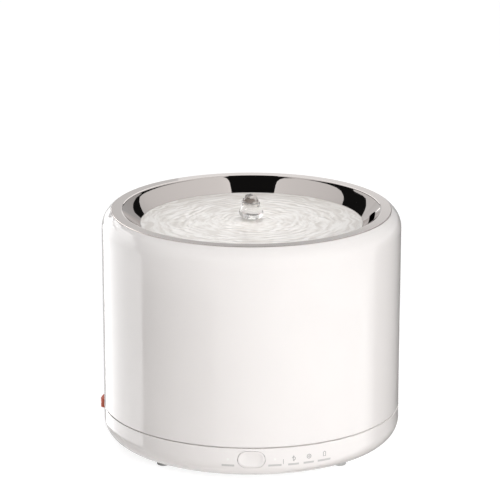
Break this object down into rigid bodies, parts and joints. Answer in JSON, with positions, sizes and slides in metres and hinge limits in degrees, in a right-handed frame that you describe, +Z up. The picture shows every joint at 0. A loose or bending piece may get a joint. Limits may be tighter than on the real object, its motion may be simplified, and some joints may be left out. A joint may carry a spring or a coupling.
{
  "type": "pet water fountain",
  "caption": "Round cordless drinking fountain: white battery base with a mode button, lift-off water tank, wirelessly driven pump, filter and polished steel drinking tray with a bubbling spout.",
  "frame": {"origin": "on the floor plane under the drum's axis; the charging socket's cover stands out at the left", "axes": "+Z up along the drum's axis, -Y the front with the mode button, +X to the viewer's right"},
  "size_m": [0.1985, 0.196, 0.1567],
  "materials": {
    "white_gloss": "gloss",
    "white_satin": "satin",
    "pump_grey": "satin",
    "dark_plastic": "satin",
    "coral_silicone": "matte",
    "grey_silicone": "matte",
    "clear_silicone": "satin",
    "polished_steel": "polished",
    "plain_steel": "satin",
    "copper_wire": "satin",
    "ferrite": "matte",
    "magnet": "satin",
    "core_steel": "satin",
    "circuit_board": "satin",
    "lamp_body": "satin",
    "clear_acrylic": "gloss",
    "cell_can": "satin",
    "float_foam": "matte",
    "shaft_ceramic": "satin",
    "activated_carbon": "matte",
    "filter_cotton": "matte"
  },
  "bodies": {
    "base": {"base_shell": "white_gloss", "base_deck": "white_satin", "base_gasket": "grey_silicone", "base_screws": "plain_steel", "foot_front_left": "grey_silicone", "foot_front_right": "grey_silicone", "foot_rear_left": "grey_silicone", "foot_rear_right": "grey_silicone", "control_board": "circuit_board", "mode_switch": "dark_plastic", "indicator_leds": "lamp_body", "light_guide_mode_left": "clear_acrylic", "light_guide_mode_right": "clear_acrylic", "light_guide_water": "clear_acrylic", "light_guide_filter": "clear_acrylic", "light_guide_battery": "clear_acrylic", "battery_cradle": "dark_plastic", "battery_cell_front": "cell_can", "battery_cell_rear": "cell_can", "power_board": "circuit_board", "charging_socket": "plain_steel", "drive_coil": "copper_wire", "coil_ferrite": "ferrite", "coil_carrier": "dark_plastic", "level_sensor": "dark_plastic"},
    "button": {"mode_button": "white_gloss", "switch_plunger": "dark_plastic"},
    "socket_cover": {"port_cover": "coral_silicone"},
    "tank": {"tank_shell": "white_gloss", "tank_floor": "white_gloss", "tank_ribs": "white_gloss", "float_post": "white_satin", "float_stop_cap": "white_satin"},
    "float": {"level_float": "float_foam", "float_magnet": "magnet"},
    "pump": {"receiver_cap": "pump_grey", "receiver_coil": "copper_wire", "receiver_ferrite": "ferrite", "receiver_board": "circuit_board", "receiver_housing": "pump_grey", "pump_housing": "pump_grey", "stator_core": "core_steel", "stator_coils": "copper_wire", "pump_back_plate": "pump_grey", "impeller_shaft": "shaft_ceramic", "pump_cover": "pump_grey", "riser_tube": "white_satin", "riser_seal": "clear_silicone"},
    "rotor": {"impeller": "white_satin", "rotor_magnet": "magnet"},
    "basket": {"filter_basket": "white_satin"},
    "cartridge": {"filter_case": "white_satin", "filter_carbon": "activated_carbon", "filter_pad": "filter_cotton", "filter_lid": "white_satin"},
    "tray": {"steel_tray": "polished_steel", "spout": "white_satin", "spout_seal": "clear_silicone", "spout_nut": "white_satin"}
  },
  "joints": [
    {"name": "mode_press", "type": "slide", "parent": "base", "child": "button", "axis": [0, 1, 0], "range_m": [0, 0.0008], "stiffness_N_per_m": 2500},
    {"name": "port_cover_pull", "type": "slide", "parent": "base", "child": "socket_cover", "axis": [-0.9848, 0.1736, 0], "range_m": [0, 0.012]},
    {"name": "tank_lift", "type": "slide", "parent": "base", "child": "tank", "axis": [0, 0, 1], "range_m": [0, 0.06]},
    {"name": "float_rise", "type": "slide", "parent": "tank", "child": "float", "axis": [0, 0, 1], "range_m": [0, 0.012]},
    {"name": "pump_lift", "type": "slide", "parent": "tank", "child": "pump", "axis": [0, 0, 1], "range_m": [0, 0.13]},
    {"name": "impeller_spin", "type": "hinge", "parent": "pump", "child": "rotor", "pos_m": [0, -0.0085, 0.0695], "axis": [1, 0, 0], "continuous": true},
    {"name": "basket_lift", "type": "slide", "parent": "pump", "child": "basket", "axis": [0, 0, 1], "range_m": [0, 0.06]},
    {"name": "cartridge_lift", "type": "slide", "parent": "basket", "child": "cartridge", "axis": [0, 0, 1], "range_m": [0, 0.06]},
    {"name": "tray_lift", "type": "slide", "parent": "cartridge", "child": "tray", "axis": [0, 0, 1], "range_m": [0, 0.06]}
  ]
}
